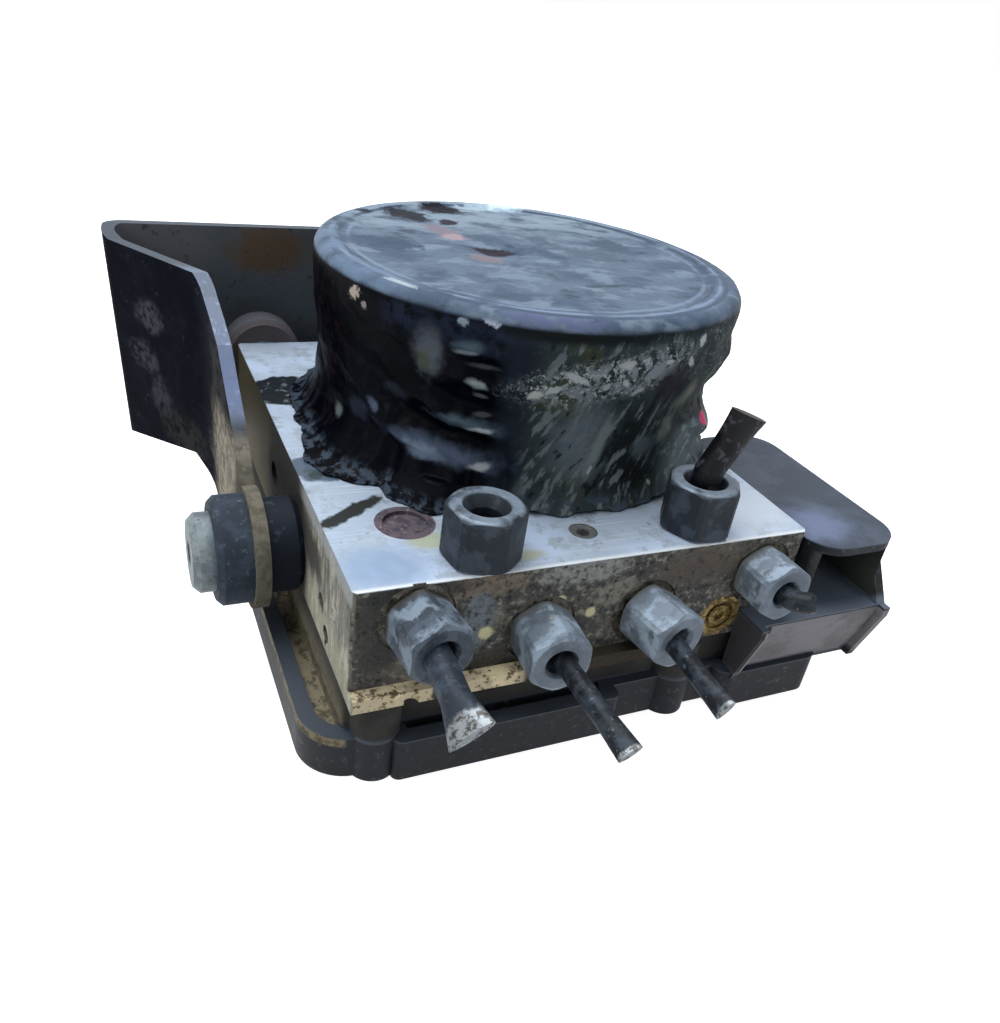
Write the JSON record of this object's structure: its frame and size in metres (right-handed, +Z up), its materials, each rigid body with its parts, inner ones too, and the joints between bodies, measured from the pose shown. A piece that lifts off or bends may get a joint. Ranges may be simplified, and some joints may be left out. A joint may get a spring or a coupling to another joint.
{
  "type": "abs brake module",
  "caption": "Anti-lock brake module: ported aluminium valve block with a wrapped pump motor on top, a control unit below, pipe stubs, and a bent bracket on rubber mounts.",
  "frame": {"origin": "on the underside of the control unit's cover, below the axis of the pump motor", "axes": "+Z up along the motor's axis, +Y to the back, away from the wheel line ports, +X to the right seen from the ports, towards the connector"},
  "size_m": [0.1559, 0.1719, 0.0864],
  "materials": {
    "block_aluminium": "milled top, corroded and dusty sides",
    "plug_steel": "tarnished, dished",
    "plug_brass": "tarnished, crimped",
    "bright_steel": "dull bright steel",
    "nut_steel": "dark passivated, dusty edges",
    "pipe_coating": "thin dark coating, bright cut ends",
    "housing_plastic": "moulded, dusty",
    "cover_plastic": "moulded",
    "seal_rubber": "moulded",
    "board_laminate": "lacquered",
    "terminal_metal": "plated",
    "coil_winding": "lacquered wire on a plastic bobbin",
    "can_steel": "zinc plated",
    "boot_film": "crinkled shiny wrap, scuffed and dusty",
    "bush_bronze": "sintered",
    "magnet_ferrite": "pressed",
    "plate_plastic": "moulded",
    "brush_carbon": "pressed carbon",
    "core_steel": "stacked sheets",
    "copper": "lacquered copper",
    "bracket_paint": "worn black paint, scraped edges",
    "mount_rubber": "moulded, weathered",
    "mount_steel": "plated, weathered"
  },
  "bodies": {
    "module": {"valve_block": "block_aluminium", "expander_plug": "plug_steel", "cup_plug": "plug_brass", "bleed_screw": "bright_steel", "gallery_balls": "bright_steel", "line_nuts": "nut_steel", "inlet_nuts": "nut_steel", "inlet_pipe": "pipe_coating", "ecu_housing": "housing_plastic", "ecu_cover": "cover_plastic", "ecu_seal": "seal_rubber", "ecu_screws": "bright_steel", "circuit_board": "board_laminate", "connector_pins": "terminal_metal", "valve_bodies": "bright_steel", "valve_coils": "coil_winding", "coil_yokes": "core_steel", "motor_can": "can_steel", "motor_boot": "boot_film", "motor_screws": "bright_steel", "upper_bush": "bush_bronze", "motor_magnets": "magnet_ferrite", "brush_plate": "plate_plastic", "brushes": "brush_carbon", "brush_springs": "bright_steel", "motor_leads": "plate_plastic", "bearing_outer_race": "bright_steel", "pump_liners": "bright_steel", "pump_plugs": "bright_steel", "accumulator_caps": "bright_steel", "mount_sleeves": "mount_steel", "mount_bolts": "mount_steel", "bracket": "bracket_paint", "rubber_mounts": "mount_rubber", "line_pipe_1": "pipe_coating", "line_pipe_2": "pipe_coating", "line_pipe_3": "pipe_coating", "line_pipe_4": "pipe_coating", "pump_spring_left": "bright_steel", "pump_spring_right": "bright_steel", "accumulator_spring_1": "bright_steel", "accumulator_spring_2": "bright_steel"},
    "rotor": {"rotor_shaft": "bright_steel", "armature_core": "core_steel", "armature_windings": "copper", "commutator": "copper", "bearing_inner_race": "bright_steel"},
    "eccentric_ring": {"cam_ring": "bright_steel"},
    "left_piston": {"pump_piston_left": "bright_steel"},
    "right_piston": {"pump_piston_right": "bright_steel"},
    "first_accumulator": {"accumulator_piston_1": "block_aluminium"},
    "second_accumulator": {"accumulator_piston_2": "block_aluminium"},
    "plunger_1": {"valve_plunger_1": "core_steel"},
    "plunger_2": {"valve_plunger_2": "core_steel"},
    "plunger_3": {"valve_plunger_3": "core_steel"},
    "plunger_4": {"valve_plunger_4": "core_steel"},
    "plunger_5": {"valve_plunger_5": "core_steel"},
    "plunger_6": {"valve_plunger_6": "core_steel"},
    "plunger_7": {"valve_plunger_7": "core_steel"},
    "plunger_8": {"valve_plunger_8": "core_steel"}
  },
  "joints": [
    {"name": "rotor_spin", "type": "hinge", "parent": "module", "child": "rotor", "pos_m": [0, 0, 0.05], "axis": [0, 0, 1], "continuous": true},
    {"name": "ring_spin", "type": "hinge", "parent": "rotor", "child": "eccentric_ring", "pos_m": [0.001, 0, 0.033], "axis": [0, 0, 1], "continuous": true},
    {"name": "left_piston_slide", "type": "slide", "parent": "module", "child": "left_piston", "axis": [-1, 0, 0], "range_m": [0, 0.002], "stiffness_N_per_m": 900, "deforming": ["pump_spring_left"]},
    {"name": "right_piston_slide", "type": "slide", "parent": "module", "child": "right_piston", "axis": [1, 0, 0], "range_m": [0, 0.002], "stiffness_N_per_m": 900, "deforming": ["pump_spring_right"]},
    {"name": "first_accumulator_slide", "type": "slide", "parent": "module", "child": "first_accumulator", "axis": [0, 1, 0], "range_m": [0, 0.005], "stiffness_N_per_m": 1200, "deforming": ["accumulator_spring_1"]},
    {"name": "second_accumulator_slide", "type": "slide", "parent": "module", "child": "second_accumulator", "axis": [0, 1, 0], "range_m": [0, 0.005], "stiffness_N_per_m": 1200, "deforming": ["accumulator_spring_2"]},
    {"name": "plunger_1_slide", "type": "slide", "parent": "module", "child": "plunger_1", "axis": [0, 0, 1], "range_m": [0, 0.0004], "stiffness_N_per_m": 2500},
    {"name": "plunger_2_slide", "type": "slide", "parent": "module", "child": "plunger_2", "axis": [0, 0, 1], "range_m": [0, 0.0004], "stiffness_N_per_m": 2500},
    {"name": "plunger_3_slide", "type": "slide", "parent": "module", "child": "plunger_3", "axis": [0, 0, 1], "range_m": [0, 0.0004], "stiffness_N_per_m": 2500},
    {"name": "plunger_4_slide", "type": "slide", "parent": "module", "child": "plunger_4", "axis": [0, 0, 1], "range_m": [0, 0.0004], "stiffness_N_per_m": 2500},
    {"name": "plunger_5_slide", "type": "slide", "parent": "module", "child": "plunger_5", "axis": [0, 0, 1], "range_m": [0, 0.0004], "stiffness_N_per_m": 2500},
    {"name": "plunger_6_slide", "type": "slide", "parent": "module", "child": "plunger_6", "axis": [0, 0, 1], "range_m": [0, 0.0004], "stiffness_N_per_m": 2500},
    {"name": "plunger_7_slide", "type": "slide", "parent": "module", "child": "plunger_7", "axis": [0, 0, 1], "range_m": [0, 0.0004], "stiffness_N_per_m": 2500},
    {"name": "plunger_8_slide", "type": "slide", "parent": "module", "child": "plunger_8", "axis": [0, 0, 1], "range_m": [0, 0.0004], "stiffness_N_per_m": 2500}
  ],
  "couplings": [
    {"joint": "ring_spin", "follows": "rotor_spin", "ratio": -1}
  ]
}
